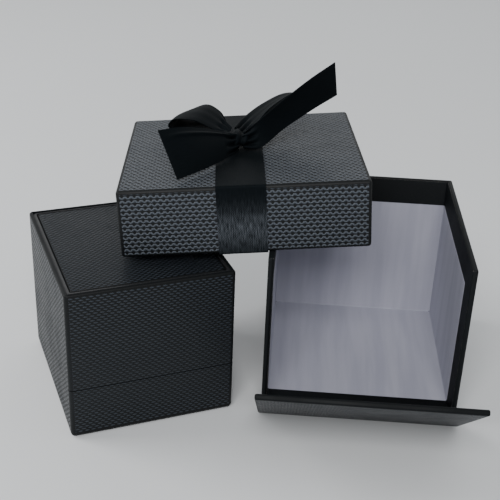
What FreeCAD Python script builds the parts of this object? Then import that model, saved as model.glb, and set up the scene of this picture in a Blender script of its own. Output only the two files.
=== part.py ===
"""Jewelry gift box set: a hinged ring box, its drop-front outer box and the bow-topped lid.

Millimetres, +Z up. The origin is the centre of the outer box's flat underside, with +X along
its width and +Y from its open front to its back. The ring box stands at its left, and the bow
lid lies across both of them.
"""
import FreeCAD, Part
import math
import os
import re
import Sketcher

Vector = FreeCAD.Vector
Placement = FreeCAD.Placement
Rotation = FreeCAD.Rotation
LEVEL = Placement()

# ---- Driving dimensions -------------------------------------------------------------------
SIZES = {
    # ring box
    "ring_width": 56.0,
    "ring_depth": 64.0,
    "ring_height": 54.0,
    "seam_height": 18.5,
    "seam_gap": 0.3,
    "ring_corner": 3.0,
    "ring_rim": 1.8,
    "ring_wall": 1.6,
    "cover_skin": 0.4,
    "felt_inset": 3.5,
    # the inset top panel of the ring box
    "panel_inset": 2.2,
    "panel_recess": 1.4,
    "panel_groove": 0.45,
    "panel_drop": 0.4,
    # ring box lining, cushions and lid pad
    "lining": 0.3,
    "lip_thickness": 0.6,
    "lip_rise": 2.5,
    "fit_gap": 0.3,
    "cushion_gap": 0.9,
    "cushion_rise": 5.5,
    "cushion_round": 4.0,
    "cushion_corner": 0.5,
    "ring_slot": 1.0,
    "pad_thickness": 6.0,
    "pad_round": 2.5,
    # ring box hinge
    "hinge_inset": 1.2,
    "hinge_length": 34.0,
    "barrel_radius": 0.9,
    "pin_radius": 0.45,
    "pin_play": 0.05,
    "leaf_height": 7.0,
    "leaf_thickness": 0.4,
    "knuckle_gap": 0.2,
    "hinge_relief": 1.5,
    "spring_width": 12.0,
    "spring_thickness": 0.3,
    # outer box and bow lid: greyboard wrapped and lined with paper
    "board": 1.5,
    "paper": 0.25,
    "side_room": 3.5,
    "depth_room": 4.0,
    "top_room": 3.5,
    "turn_in": 10.0,
    "front_length": 53.5,
    "front_overhang": 0.9,
    "front_gap": 0.1,
    "front_edge_gap": 0.4,
    "front_angle": 40.5,
    "lid_room": 0.5,
    "lid_height": 23.0,
    "skirt_turn_in": 8.0,
    # ribbon and bow
    "ribbon_width": 16.0,
    "ribbon": 0.4,
    "ribbon_tuck": 6.0,
    "ribbon_offset": -1.0,
    "bow_strip": 0.8,
    "bow_gap": 0.2,
    "knot_width": 8.0,
    "knot_depth": 12.0,
    "knot_height": 6.5,
    "knot_round": 2.0,
    # how the three units stand together
    "ring_distance": 10.0,
    "ring_setback": 17.3,
    "ring_turn": 24.5,
    "lid_reach": 10.4,
    "lid_setback": 3.3,
    "lid_turn": 5.2,
    "rest_gap": 0.15,
}

# ---- Sizes worked out from them -----------------------------------------------------------
WALL = "(board + 2*paper)"
BOX_WIDTH = f"(ring_width + 2*side_room + 2*{WALL})"
BOX_DEPTH = f"(ring_depth + 2*depth_room + {WALL})"
BOX_HEIGHT = f"(ring_height + top_room + {WALL})"
FRONT_WIDTH = f"({BOX_WIDTH} + 2*front_overhang)"
LID_LENGTH = f"({BOX_DEPTH} + {WALL} + 2*lid_room + 2*{WALL})"
LID_WIDTH = f"({FRONT_WIDTH} + 2*lid_room + 2*{WALL})"
SHELL_WIDTH = "(ring_width - 2*cover_skin)"
SHELL_DEPTH = "(ring_depth - 2*cover_skin)"
CAVITY_WIDTH = f"({SHELL_WIDTH} - 2*ring_wall)"
CAVITY_DEPTH = f"({SHELL_DEPTH} - 2*ring_wall)"
BASE_FLOOR = "(cover_skin + ring_wall)"
LID_SEAM = "(seam_height + seam_gap)"
RECESS_FLOOR = "(ring_height - panel_recess)"
LID_CEILING = f"({RECESS_FLOOR} - ring_wall)"
HINGE_Y = "(ring_depth/2 - hinge_inset)"
HINGE_Z = "(seam_height + seam_gap/2)"

doc = FreeCAD.newDocument("jewelry_gift_box")
sheet = doc.addObject("Spreadsheet::Sheet", "Sizes")
for row, (alias, number) in enumerate(SIZES.items(), start=1):
    sheet.set(f"A{row}", alias)
    sheet.set(f"B{row}", str(number))
    sheet.setAlias(f"B{row}", alias)
doc.recompute()

ALIAS = re.compile(r"\b[a-z][a-z_]+\b")


def bound(text):
    """Write a size as an expression on the sheet."""
    return ALIAS.sub(lambda word: "Sizes." + word.group(0), str(text))


def value(text):
    """Read a size from the sheet as a plain number."""
    return float(sheet.evalExpression(str(text)))


def values(texts):
    return Vector(*[value(text) for text in texts])


nodes = []


def node(piece, label, frame=LEVEL):
    """Make a finished piece a node of the model, standing in its unit's frame."""
    piece.Label = label
    piece.Placement = frame.multiply(piece.Placement)
    nodes.append(piece)
    return piece


# ---- Shapes -------------------------------------------------------------------------------
def box(name, size, corner):
    """A block with its sizes on the sheet, its lowest corner at the given place."""
    block = doc.addObject("Part::Box", name)
    for side, text in zip(("Length", "Width", "Height"), size):
        block.setExpression(side, bound(text))
    block.Placement = Placement(values(corner), Rotation())
    return block


def centred_box(name, width, depth, bottom, top):
    """A block centred on the unit's own Z axis, between two heights."""
    size = (width, depth, f"{top} - {bottom}")
    return box(name, size, (f"-{width}/2", f"-{depth}/2", bottom))


def cylinder(name, radius, length, start):
    """A rod along X, from the given centre of its left end."""
    rod = doc.addObject("Part::Cylinder", name)
    rod.setExpression("Radius", bound(radius))
    rod.setExpression("Height", bound(length))
    rod.Placement = Placement(values(start), Rotation(Vector(0, 1, 0), 90))
    return rod


def fuse(name, pieces):
    joined = doc.addObject("Part::MultiFuse", name)
    joined.Shapes = pieces
    return joined


def cut(name, base, *tools):
    """Take each tool from the base in turn."""
    result = base
    for number, tool in enumerate(tools, start=1):
        step = doc.addObject("Part::Cut", name if number == len(tools) else f"{name}_{number}")
        step.Base = result
        step.Tool = tool
        result = step
    doc.recompute()
    return result


def origin_plane(body, role):
    for feature in body.Origin.OriginFeatures:
        if feature.Role == role:
            return feature
    raise ValueError(role)


def fillet_edges(body, base, name, radius, wanted):
    """Round the edges of base that the test picks."""
    names = [f"Edge{i}" for i, edge in enumerate(base.Shape.Edges, start=1) if wanted(edge)]
    rounding = body.newObject("PartDesign::Fillet", name)
    rounding.Base = (base, names)
    rounding.setExpression("Radius", bound(radius))
    doc.recompute()
    return rounding


def rounded_block(name, width, depth, bottom, top, corner, rim=None, rim_end="top"):
    """A block with round upright corners and, where rim is given, a round top or bottom rim."""
    body = doc.addObject("PartDesign::Body", name)
    sketch = body.newObject("Sketcher::SketchObject", name + "_outline")
    sketch.AttachmentSupport = [(origin_plane(body, "XY_Plane"), "")]
    sketch.MapMode = "FlatFace"
    half = Vector(value(width) / 2, value(depth) / 2, 0)
    corners = [Vector(x * half.x, y * half.y, 0) for x, y in ((-1, -1), (1, -1), (1, 1), (-1, 1))]
    for i in range(4):
        sketch.addGeometry(Part.LineSegment(corners[i], corners[(i + 1) % 4]), False)
    for i in range(4):
        sketch.addConstraint(Sketcher.Constraint("Coincident", i, 2, (i + 1) % 4, 1))
    for line, way in ((0, "Horizontal"), (2, "Horizontal"), (1, "Vertical"), (3, "Vertical")):
        sketch.addConstraint(Sketcher.Constraint(way, line))
    sketch.addConstraint(Sketcher.Constraint("Symmetric", 0, 1, 1, 2, -1, 1))
    wide = sketch.addConstraint(Sketcher.Constraint("DistanceX", 0, 1, 0, 2, 2 * half.x))
    deep = sketch.addConstraint(Sketcher.Constraint("DistanceY", 1, 1, 1, 2, 2 * half.y))
    sketch.setExpression(f"Constraints[{wide}]", bound(width))
    sketch.setExpression(f"Constraints[{deep}]", bound(depth))
    pad = body.newObject("PartDesign::Pad", name + "_pad")
    pad.Profile = sketch
    pad.setExpression("Length", bound(f"{top} - {bottom}"))
    doc.recompute()

    def upright(edge):
        return abs(edge.Vertexes[0].Z - edge.Vertexes[1].Z) > 0.01

    last = fillet_edges(body, pad, name + "_corners", corner, upright)
    if rim is not None:
        level = value(f"{top} - {bottom}") if rim_end == "top" else 0.0
        last = fillet_edges(body, last, name + "_rim", rim,
                            lambda edge: all(abs(v.Z - level) < 0.01 for v in edge.Vertexes))
    body.Placement = Placement(Vector(0, 0, value(bottom)), Rotation())
    return body


# ---- Where the three units stand ----------------------------------------------------------
def turned(point, degrees):
    return Rotation(Vector(0, 0, 1), degrees).multVec(point)


def ring_box_frame():
    """The ring box stands on the table at the left of the outer box, turned a little."""
    turn = math.radians(value("ring_turn"))
    reach = value("ring_width")/2*math.cos(turn) + value("ring_depth")/2*math.sin(turn)
    x = -value(BOX_WIDTH)/2 - value("ring_distance") - reach
    y = -value(BOX_DEPTH)/2 + value("ring_setback")
    return Placement(Vector(x, y, 0), Rotation(Vector(0, 0, 1), value("ring_turn")))


def crossing(start, end, other_start, other_end):
    """The plan point where one line crosses another."""
    along = end - start
    other = other_end - other_start
    offset = other_start - start
    share = (offset.x*other.y - offset.y*other.x) / (along.x*other.y - along.y*other.x)
    return start + along*share


def bow_lid_frame(ring_frame):
    """The bow lid rests on three points: two walls of the outer box and the ring box's top."""
    half = Vector(value(LID_LENGTH)/2, value(LID_WIDTH)/2, 0)
    centre = Vector(-value(BOX_WIDTH)/2 - value("lid_reach"),
                    -value(BOX_DEPTH)/2 + value("lid_setback") + half.y, 0)

    def lid_corner(x, y):
        return centre + turned(Vector(x*half.x, y*half.y, 0), value("lid_turn"))

    def box_corner(x, y):
        return Vector(x*value(BOX_WIDTH)/2, y*value(BOX_DEPTH)/2, 0)

    def ring_corner(x, y):
        corner = Vector(x*value("ring_width")/2, y*value("ring_depth")/2, 0)
        return ring_frame.multVec(corner)

    on_side = crossing(lid_corner(-1, -1), lid_corner(1, -1), box_corner(-1, -1), box_corner(-1, 1))
    on_back = crossing(lid_corner(1, -1), lid_corner(1, 1), box_corner(-1, 1), box_corner(1, 1))
    on_ring = crossing(lid_corner(-1, -1), lid_corner(-1, 1), ring_corner(-1, 1), ring_corner(1, 1))
    # where the band lies over the side wall, its thickness carries the lid
    wall_start = turned(on_side - centre, -value("lid_turn")).x
    clear_right = wall_start > value("ribbon_offset + ribbon_width/2")
    clear_left = wall_start + value(WALL) < value("ribbon_offset - ribbon_width/2")
    on_side.z = value(BOX_HEIGHT) + (0 if clear_right or clear_left else value("ribbon"))
    on_back.z = value(BOX_HEIGHT)
    on_ring.z = value("ring_height")
    upward = (on_back - on_side).cross(on_ring - on_side)
    upward.normalize()
    if upward.z < 0:
        upward = -upward
    slope = Vector(centre.x - on_side.x, centre.y - on_side.y, 0)
    centre.z = on_side.z - (upward.x*slope.x + upward.y*slope.y)/upward.z + value("rest_gap")
    across = turned(Vector(0, 1, 0), value("lid_turn"))
    along = across.cross(upward)
    along.normalize()
    return Placement(centre, Rotation(along, upward.cross(along), upward, "XYZ"))


def front_frame():
    """The drop front leans on its hinge line, with its free edge lifted off the table."""
    hinge = Vector(0, -value(f"{BOX_DEPTH}/2 + {WALL} + front_gap"), 0)
    lean = Rotation(Vector(1, 0, 0), -value("front_angle"))
    return Placement(hinge, lean.multiply(Rotation(Vector(0, 0, 1), 180)))


RING = ring_box_frame()
BOW_LID = bow_lid_frame(RING)
FRONT = front_frame()


# ---- Outer box: floor, back and two sides of wrapped greyboard -----------------------------
def outer_box():
    board_width = f"({BOX_WIDTH} - 2*paper)"
    board_depth = f"({BOX_DEPTH} - 2*paper)"
    side_height = f"({BOX_HEIGHT} - 2*paper - board)"
    board_top = "(paper + board)"
    inner_width = f"({BOX_WIDTH} - 2*{WALL})"
    lined_width = f"({BOX_WIDTH} - 2*paper - 2*board)"
    left = f"(-{BOX_WIDTH}/2 + paper)"
    right = f"({BOX_WIDTH}/2 - paper - board)"
    front = f"(-{BOX_DEPTH}/2 + paper)"
    back = f"({BOX_DEPTH}/2 - paper - board)"

    floor = centred_box("floor", board_width, board_depth, "paper", board_top)
    rear = box("rear", (board_width, "board", side_height), (left, back, board_top))
    side = ("board", f"{board_depth} - board", side_height)
    left_side = box("left_side", side, (left, front, board_top))
    right_side = box("right_side", side, (right, front, board_top))
    boards = fuse("boards", [floor, rear, left_side, right_side])

    bay_depth = f"({BOX_DEPTH} - {WALL} + 1)"
    bay = box("bay", (inner_width, bay_depth, BOX_HEIGHT),
              (f"-{inner_width}/2", f"-{BOX_DEPTH}/2 - 1", WALL))
    lined = box("lined",
                (lined_width, f"{BOX_DEPTH} - paper - board - turn_in",
                 f"{BOX_HEIGHT} - turn_in - {WALL}"),
                (f"-{lined_width}/2", f"-{BOX_DEPTH}/2 + turn_in", WALL))
    floor_liner = box("floor_liner",
                      (lined_width, f"{BOX_DEPTH} - 2*paper - board", "paper"),
                      (f"-{lined_width}/2", front, board_top))
    wall_liner = cut("wall_liner", lined, bay)
    outside = centred_box("outside", BOX_WIDTH, BOX_DEPTH, "paper", BOX_HEIGHT)
    wrap = cut("wall_wrap", outside, bay, boards, wall_liner, floor_liner)
    underside = centred_box("underside", BOX_WIDTH, BOX_DEPTH, "0", "paper")
    strip_depth = f"({WALL} + front_gap)"
    strip = box("hinge_strip", (BOX_WIDTH, strip_depth, "paper"),
                (f"-{BOX_WIDTH}/2", f"-{BOX_DEPTH}/2 - {strip_depth}", "0"))

    node(floor, "outer_floor_board")
    node(rear, "outer_back_board")
    node(left_side, "outer_left_board")
    node(right_side, "outer_right_board")
    node(wrap, "outer_wall_wrap")
    node(underside, "outer_bottom_paper")
    node(wall_liner, "outer_wall_liner")
    node(floor_liner, "outer_floor_liner")
    node(strip, "front_hinge_strip")


# ---- Drop front: one wrapped board on a paper hinge -----------------------------------------
def drop_front():
    def layer(name, inset, bottom, thickness):
        """A flat layer of the front, set in from its four edges."""
        start = "front_edge_gap"
        size = (f"{FRONT_WIDTH} - 2*{inset}", f"front_length - {start} - 2*{inset}", thickness)
        return box(name, size, (f"-{FRONT_WIDTH}/2 + {inset}", f"{start} + {inset}", bottom))

    outside = layer("front_outside", "0", "0", WALL)
    board_room = layer("front_board_room", "paper", "paper", "board")
    liner_room = layer("front_liner_room", "turn_in", "paper + board", "paper")
    wrap = cut("front_wrap", outside, board_room, liner_room)
    node(layer("front_board", "paper", "paper", "board"), "drop_front_board", FRONT)
    node(wrap, "drop_front_wrap", FRONT)
    node(layer("front_liner", "turn_in", "paper + board", "paper"), "drop_front_liner", FRONT)


# ---- Bow lid: five boards, wrap, liner and the ribbon round it ------------------------------
def bow_lid():
    board_length = f"({LID_LENGTH} - 2*paper)"
    board_width = f"({LID_WIDTH} - 2*paper)"
    top_bottom = "(lid_height - paper - board)"
    skirt_height = f"({top_bottom} - paper)"
    side_width = f"({board_width} - 2*board)"
    inner_length = f"({LID_LENGTH} - 2*{WALL})"
    inner_width = f"({LID_WIDTH} - 2*{WALL})"
    lined_length = f"({LID_LENGTH} - 2*paper - 2*board)"
    lined_width = f"({LID_WIDTH} - 2*paper - 2*board)"

    def boards(name):
        """The top board and the four skirt boards, by label."""
        long = (board_length, "board", skirt_height)
        short = ("board", side_width, skirt_height)
        left = f"-{board_length}/2"
        right = f"{board_length}/2 - board"
        return {
            "lid_top_board": centred_box(f"{name}_top", board_length, board_width, top_bottom,
                                         "(lid_height - paper)"),
            "lid_front_board": box(f"{name}_front", long, (left, f"-{board_width}/2", "paper")),
            "lid_back_board": box(f"{name}_back", long, (left, f"{board_width}/2 - board", "paper")),
            "lid_left_board": box(f"{name}_left", short, (left, f"-{side_width}/2", "paper")),
            "lid_right_board": box(f"{name}_right", short, (right, f"-{side_width}/2", "paper")),
        }

    hollow = centred_box("hollow", inner_length, inner_width, "(-1)", f"(lid_height - {WALL})")
    lined = centred_box("lid_lined", lined_length, lined_width, "skirt_turn_in", top_bottom)
    liner = cut("lid_liner", lined, hollow)
    outside = centred_box("lid_outside", LID_LENGTH, LID_WIDTH, "0", "lid_height")
    board_room = fuse("lid_board_room", list(boards("room").values()))
    wrap = cut("lid_wrap", outside, hollow, board_room, lined)

    band_outside = box("band_outside",
                       ("ribbon_width", f"{LID_WIDTH} + 2*ribbon", "lid_height + 2*ribbon"),
                       ("ribbon_offset - ribbon_width/2", f"-{LID_WIDTH}/2 - ribbon", "-ribbon"))
    lid_body = centred_box("lid_body", LID_LENGTH, LID_WIDTH, "0", "lid_height")
    tucked_width = f"({inner_width} - 2*ribbon)"
    band_inside = centred_box("band_inside", LID_LENGTH, tucked_width, "(-2)", "0")
    above_tuck = centred_box("above_tuck", LID_LENGTH, inner_width, "ribbon_tuck", "lid_height")
    walls = cut("lid_walls", lid_body, hollow)
    within = centred_box("within", LID_LENGTH, tucked_width, "(-1)", "ribbon_tuck")
    band = cut("ribbon_band", band_outside, walls, above_tuck, within, band_inside)

    for label, board in boards("lid").items():
        node(board, label, BOW_LID)
    node(wrap, "lid_wrap", BOW_LID)
    node(liner, "lid_liner", BOW_LID)
    node(band, "ribbon_band", BOW_LID)


# ---- Bow: a knot, two loops and two cut tails of the same ribbon ----------------------------
# Plan places are from the lid's centre, and heights are from the band on the lid's top.
KNOT_CENTRE = Vector(-2.0, -1.0, 0)
LOOPS = {
    # label: (start, centre of the round end, its radius, the front edge's y)
    "bow_left_loop": (Vector(-6.4, 0, 3.6), Vector(-19.5, 0, 6.6), 6.0, -0.5),
    "bow_right_loop": (Vector(2.4, 0, 3.8), Vector(13.5, 0, 8.4), 6.4, 2.5),
}
TAILS = {
    # label: (lower inner corner, lower outer corner, slanted end upwards, share of it inside)
    "bow_left_tail": (Vector(-7.0, -9.0, 1.2), Vector(-21.0, -31.0, 0.9),
                      Vector(-5.6, 7.5, 14.2), 0.35),
    "bow_right_tail": (Vector(4.2, -4.5, 1.8), Vector(33.5, 8.0, 14.0),
                       Vector(-1.0, -7.6, 13.6), 0.45),
}


def teardrop(start, centre, radius):
    """The outline of a ribbon loop from the side: two straight runs onto a round end."""
    away = start - centre
    reach = math.acos(radius/away.Length)
    heading = math.atan2(away.z, away.x)

    def on_round(angle):
        return centre + Vector(math.cos(angle), 0, math.sin(angle))*radius

    upper = on_round(heading + reach)
    lower = on_round(heading - reach)
    far = on_round(heading + math.pi)
    return Part.Wire([
        Part.LineSegment(start, upper).toShape(),
        Part.Arc(upper, far, lower).toShape(),
        Part.LineSegment(lower, start).toShape(),
    ])


def bow():
    band_top = value("lid_height + ribbon")
    strip = value("bow_strip")
    width = value("ribbon_width")
    knot = rounded_block("knot", "knot_width", "knot_depth", "0", "knot_height", "knot_round",
                         "knot_round", "top")
    knot.Placement = Placement(KNOT_CENTRE + Vector(0, 0, band_top + value("bow_gap")/2), Rotation())
    node(knot, "bow_knot", BOW_LID)

    for label, (start, centre, radius, front) in LOOPS.items():
        outer = teardrop(start, centre, radius)
        inward = (centre - start).normalize()
        inner = teardrop(start + inward*strip*4, centre, radius - strip)
        face = Part.Face([outer, inner])
        face.validate()
        loop = doc.addObject("Part::Feature", label + "_shape")
        loop.Shape = face.extrude(Vector(0, width, 0))
        loop.Placement = Placement(Vector(0, front, band_top), Rotation())
        node(loop, label, BOW_LID)

    for label, (inner, outer, end, share) in TAILS.items():
        points = [inner, outer, outer + end, inner + end*share]
        face = Part.Face(Part.makePolygon(points + [inner]))
        thickness = (outer - inner).cross(end).normalize()*strip
        tail = doc.addObject("Part::Feature", label + "_shape")
        tail.Shape = face.extrude(thickness)
        tail.Placement = Placement(Vector(0, 0, band_top), Rotation())
        node(tail, label, BOW_LID)


# ---- Ring box -------------------------------------------------------------------------------
def seam_groove():
    """The wedge along the rear seam that lets the lid swing back past its hinge line."""
    length = value("ring_width + 2")
    side = value("3*hinge_inset")
    groove = doc.addObject("Part::Feature", "seam_groove")
    apex = Vector(-length/2, value(HINGE_Y) - value("seam_gap"), value(HINGE_Z))
    points = [apex, apex + Vector(0, side, side), apex + Vector(0, side, -side), apex]
    groove.Shape = Part.Face(Part.makePolygon(points)).extrude(Vector(length, 0, 0))
    return groove


def hinge_relief():
    """The notch in both rear walls for the hinge barrels and the leaves' bends."""
    length = "(hinge_length + 2*knuckle_gap)"
    hole = cylinder("hinge_hole", "hinge_relief", length, (f"-{length}/2", HINGE_Y, HINGE_Z))
    bend = box("hinge_bend", (length, "hinge_relief", "2*hinge_relief"),
               (f"-{length}/2", f"{HINGE_Y} - hinge_relief", f"{HINGE_Z} - hinge_relief"))
    return fuse("hinge_notch", [hole, bend])


def knuckle(name, number, leaf_face):
    """One barrel of the hinge with the bend that joins it to its leaf."""
    pitch = "(hinge_length/5)"
    length = f"({pitch} - knuckle_gap)"
    left = f"(-hinge_length/2 + {number}*{pitch} + knuckle_gap/2)"
    barrel = cylinder(f"{name}_barrel_{number}", "barrel_radius", length, (left, HINGE_Y, HINGE_Z))
    height = "(barrel_radius + 0.5)"
    bottom = f"({HINGE_Z} - {height})" if leaf_face == "down" else HINGE_Z
    bend = box(f"{name}_bend_{number}", (length, "leaf_thickness", height),
               (left, f"{CAVITY_DEPTH}/2 - leaf_thickness", bottom))
    return [barrel, bend]


def hinge_leaf(name, numbers, leaf_face):
    """A steel leaf on the inside of a rear wall, with its knuckles, bored for the pin."""
    clear = "(barrel_radius + 0.4)"
    plate_bottom = f"({HINGE_Z} - leaf_height)" if leaf_face == "down" else f"({HINGE_Z} + {clear})"
    plate = box(f"{name}_plate", ("hinge_length", "leaf_thickness", f"leaf_height - {clear}"),
                ("-hinge_length/2", f"{CAVITY_DEPTH}/2 - leaf_thickness", plate_bottom))
    pieces = [plate]
    for number in numbers:
        pieces += knuckle(name, number, leaf_face)
    solid = fuse(f"{name}_solid", pieces)
    bore = cylinder(f"{name}_bore", "(pin_radius + pin_play)", "(hinge_length + 2)",
                    ("(-hinge_length/2 - 1)", HINGE_Y, HINGE_Z))
    return cut(f"{name}_leaf", solid, bore)


def ring_box():
    inner_corner = "(ring_corner - cover_skin)"
    cavity_corner = f"({inner_corner} - ring_wall)"
    inner_rim = "(ring_rim - cover_skin)"
    groove = seam_groove()
    notch = hinge_relief()

    # base: covered shell, felt underneath, standing lip, two cushions that grip the ring
    base_outside = rounded_block("base_outside", "ring_width", "ring_depth", "0", "seam_height",
                                 "ring_corner", "ring_rim", "bottom")
    base_core = rounded_block("base_core", SHELL_WIDTH, SHELL_DEPTH, "cover_skin", "seam_height",
                              inner_corner, inner_rim, "bottom")
    base_cavity = rounded_block("base_cavity", CAVITY_WIDTH, CAVITY_DEPTH, BASE_FLOOR,
                                "(seam_height + 1)", cavity_corner)
    felt_size = ("(ring_width - 2*felt_inset)", "(ring_depth - 2*felt_inset)", "0", "cover_skin")
    felt_room = rounded_block("felt_room", *felt_size, inner_corner)
    felt = rounded_block("felt", *felt_size, inner_corner)
    base_shell = cut("base_shell", base_core, base_cavity, groove, notch)
    base_cover = cut("base_cover", base_outside, base_core, felt_room, groove, notch)
    lip_width = f"({CAVITY_WIDTH} - 2*fit_gap)"
    lip_depth = f"({CAVITY_DEPTH} - 2*fit_gap)"
    lip_outside = rounded_block("lip_outside", lip_width, lip_depth, BASE_FLOOR,
                                "(seam_height + lip_rise)", cavity_corner)
    lip_inside = rounded_block("lip_inside", f"({lip_width} - 2*lip_thickness)",
                               f"({lip_depth} - 2*lip_thickness)", f"({BASE_FLOOR} - 1)",
                               "(seam_height + lip_rise + 1)",
                               f"({cavity_corner} - lip_thickness)")
    lip_notch = box("lip_notch", ("hinge_length + 2", f"{lip_depth}/2", "seam_height + lip_rise"),
                    ("-hinge_length/2 - 1", "0", BASE_FLOOR))
    lip = cut("lip", lip_outside, lip_inside, lip_notch)
    cushion_width = f"({lip_width} - 2*lip_thickness - 2*fit_gap)"
    cushion_depth = f"({lip_depth}/2 - lip_thickness - cushion_gap - ring_slot/2)"
    cushion_top = "(seam_height + cushion_rise)"
    cushions = {}
    for name, side in (("front", -1), ("rear", 1)):
        cushion = rounded_block(f"cushion_{name}", cushion_width, cushion_depth, BASE_FLOOR,
                                cushion_top, "cushion_corner", "cushion_round", "top")
        offset = value(f"{cushion_depth}/2 + ring_slot/2")
        cushion.Placement.Base = cushion.Placement.Base + Vector(0, side*offset, 0)
        cushions[name] = cushion

    # lid: covered shell with a recess for the top panel, lining and satin pad inside
    lid_outside = rounded_block("ring_lid_outside", "ring_width", "ring_depth", LID_SEAM,
                                "ring_height", "ring_corner", "ring_rim", "top")
    lid_core = rounded_block("ring_lid_core", SHELL_WIDTH, SHELL_DEPTH, LID_SEAM,
                             "(ring_height - cover_skin)", inner_corner, inner_rim, "top")
    recess = rounded_block("recess", "(ring_width - 2*panel_inset)", "(ring_depth - 2*panel_inset)",
                           RECESS_FLOOR, "(ring_height + 1)", cavity_corner)
    lid_cavity = rounded_block("lid_cavity", CAVITY_WIDTH, CAVITY_DEPTH, f"({LID_SEAM} - 1)",
                               LID_CEILING, cavity_corner)
    lid_shell = cut("ring_lid_shell", lid_core, lid_cavity, recess, groove, notch)
    lid_cover = cut("ring_lid_cover", lid_outside, lid_core, recess, groove, notch)
    panel = rounded_block("panel", "(ring_width - 2*panel_inset - 2*panel_groove)",
                          "(ring_depth - 2*panel_inset - 2*panel_groove)", RECESS_FLOOR,
                          "(ring_height - panel_drop)", f"({cavity_corner} - panel_groove)")
    lining_outside = rounded_block("lining_outside", CAVITY_WIDTH, CAVITY_DEPTH,
                                   "(seam_height + lip_rise + fit_gap)", LID_CEILING, cavity_corner)
    lining_inside = rounded_block("lining_inside", f"({CAVITY_WIDTH} - 2*lining)",
                                  f"({CAVITY_DEPTH} - 2*lining)", "seam_height",
                                  f"({LID_CEILING} + 1)", f"({cavity_corner} - lining)")
    leaf_room = box("leaf_room", ("hinge_length + 2", "ring_wall", "leaf_height + lip_rise"),
                    ("-hinge_length/2 - 1", f"{CAVITY_DEPTH}/2 - ring_wall", "seam_height"))
    lining = cut("ring_lid_lining", lining_outside, lining_inside, leaf_room)
    pad = rounded_block("lid_pad", f"({CAVITY_WIDTH} - 2*lining - 2*fit_gap)",
                        f"({CAVITY_DEPTH} - 2*lining - 2*fit_gap)",
                        f"({LID_CEILING} - pad_thickness)", LID_CEILING, "cushion_corner",
                        "pad_round", "bottom")

    # hinge: two leaves on one pin, and the flat spring that snaps it open and shut
    base_leaf = hinge_leaf("base", (0, 2, 4), "down")
    lid_leaf = hinge_leaf("lid", (1, 3), "up")
    pin = cylinder("pin", "pin_radius", "hinge_length", ("-hinge_length/2", HINGE_Y, HINGE_Z))
    spring = box("spring", ("spring_width", "spring_thickness", "leaf_height"),
                 ("-spring_width/2", f"{CAVITY_DEPTH}/2 - leaf_thickness - spring_thickness",
                  f"{HINGE_Z} - leaf_height - 3*barrel_radius"))

    node(base_shell, "ring_base_shell", RING)
    node(base_cover, "ring_base_cover", RING)
    node(felt, "ring_base_felt", RING)
    node(lip, "ring_base_lip", RING)
    node(cushions["front"], "ring_cushion_front", RING)
    node(cushions["rear"], "ring_cushion_rear", RING)
    node(base_leaf, "hinge_base_leaf", RING)
    node(pin, "hinge_pin", RING)
    node(spring, "hinge_snap_spring", RING)
    node(lid_shell, "ring_lid_shell", RING)
    node(lid_cover, "ring_lid_cover", RING)
    node(panel, "ring_lid_top_panel", RING)
    node(lining, "ring_lid_lining", RING)
    node(pad, "ring_lid_pad", RING)
    node(lid_leaf, "hinge_lid_leaf", RING)


# ---- Build, check and write -----------------------------------------------------------------
outer_box()
drop_front()
bow_lid()
bow()
ring_box()
doc.recompute()

for item in doc.Objects:
    if "Invalid" in item.State or "Error" in item.State:
        raise RuntimeError(f"{item.Name} failed: {item.State}")
for piece in nodes:
    if piece.Shape.isNull() or not piece.Shape.isValid() or not piece.Shape.Solids:
        raise RuntimeError(f"{piece.Label} has no valid solid")

os.makedirs("parts", exist_ok=True)
for piece in nodes:
    piece.Shape.exportStep(f"parts/{piece.Label}.step")
    print(piece.Label, len(piece.Shape.Solids), round(piece.Shape.Volume, 1))

ring_hinge = RING.multVec(values(("0", HINGE_Y, HINGE_Z)))
print("nodes", len(nodes))
print("front hinge", FRONT.Base)
print("ring box at", RING.Base, "hinge", ring_hinge, "turn", value("ring_turn"))
print("bow lid at", BOW_LID.Base, BOW_LID.Rotation.toEuler())
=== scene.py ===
# %% [markdown]
# # A jewelry gift box in three units
# The set is a hinged ring box, an outer box whose front drops open on a paper hinge, and a lid
# with a satin ribbon and bow. This lesson dresses the measured frame of the set: every size is
# read from that frame, so each paper wrap, ribbon and cushion lands where the maker put it.

# %% Load the measured frame
import bmesh
import bpy
import math
from mathutils import Matrix, Vector


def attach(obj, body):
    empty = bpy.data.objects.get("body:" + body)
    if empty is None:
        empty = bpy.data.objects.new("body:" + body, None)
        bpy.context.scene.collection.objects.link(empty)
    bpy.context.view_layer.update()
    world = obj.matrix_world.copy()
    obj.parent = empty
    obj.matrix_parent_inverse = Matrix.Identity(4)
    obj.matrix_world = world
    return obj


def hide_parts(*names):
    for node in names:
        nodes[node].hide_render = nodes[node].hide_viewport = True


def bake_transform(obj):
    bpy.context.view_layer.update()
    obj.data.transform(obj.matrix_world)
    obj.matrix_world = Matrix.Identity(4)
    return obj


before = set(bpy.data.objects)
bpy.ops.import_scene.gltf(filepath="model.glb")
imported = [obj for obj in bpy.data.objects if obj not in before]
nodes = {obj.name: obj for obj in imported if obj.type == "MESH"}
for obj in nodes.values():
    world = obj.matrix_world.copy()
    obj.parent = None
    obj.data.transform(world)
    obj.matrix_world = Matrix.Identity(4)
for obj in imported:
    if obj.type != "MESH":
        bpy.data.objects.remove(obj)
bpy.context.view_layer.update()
MM = 0.001
CLOSE = 0.01*MM
print("pieces in the frame:", len(nodes))

# %% [markdown]
# ## The camera
# The set is looked at from in front and above, with a slightly long lens that keeps the upright
# edges nearly parallel. A camera in Blender looks down its own -Z, so it starts by standing
# upright, then rolls, tilts down and pans. The camera comes first, because everything after it
# is judged through it.

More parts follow.
